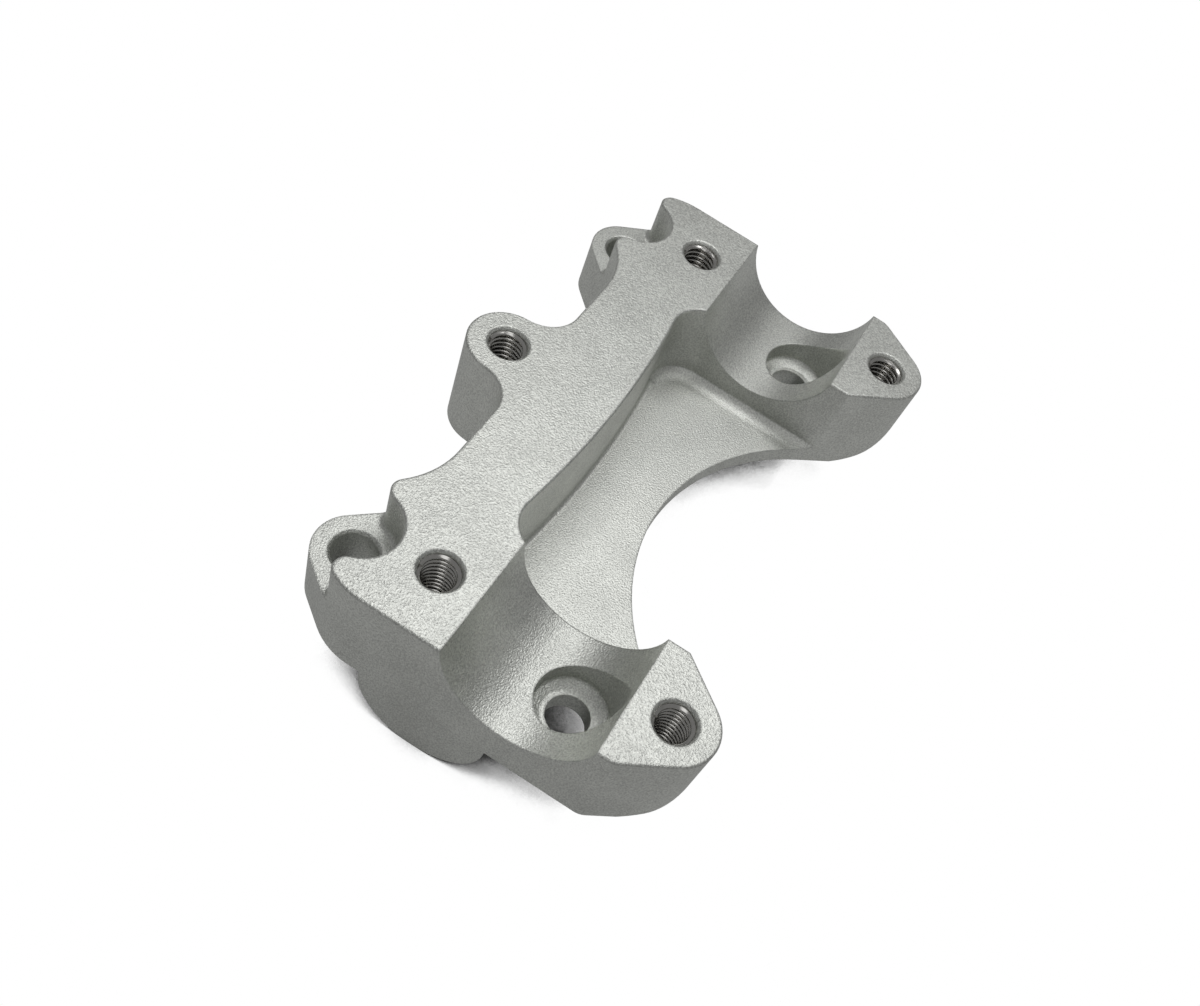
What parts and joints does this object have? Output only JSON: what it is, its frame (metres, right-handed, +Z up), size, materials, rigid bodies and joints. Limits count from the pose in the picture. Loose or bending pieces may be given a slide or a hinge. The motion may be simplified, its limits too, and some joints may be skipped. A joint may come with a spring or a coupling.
{
  "type": "handlebar riser",
  "caption": "One-piece aluminium motorbike handlebar riser with half-round bar seats, counterbored clamp bolt holes, scalloped lugs and wire thread inserts.",
  "frame": {"origin": "on the handlebar's axis, halfway along the riser", "axes": "+X along the handlebar, +Y towards the bridge and the rear lugs, +Z up out of the seats' open side"},
  "size_m": [0.1388, 0.0871, 0.0385],
  "materials": {
    "anodised_aluminium": "blasted and clear anodised, satin",
    "stainless_wire": "bright drawn wire"
  },
  "bodies": {
    "root": {"riser_body": "anodised_aluminium", "insert_rear_left": "stainless_wire", "insert_rear_right": "stainless_wire", "insert_front_left": "stainless_wire", "insert_front_right": "stainless_wire", "insert_centre": "stainless_wire"}
  },
  "joints": []
}
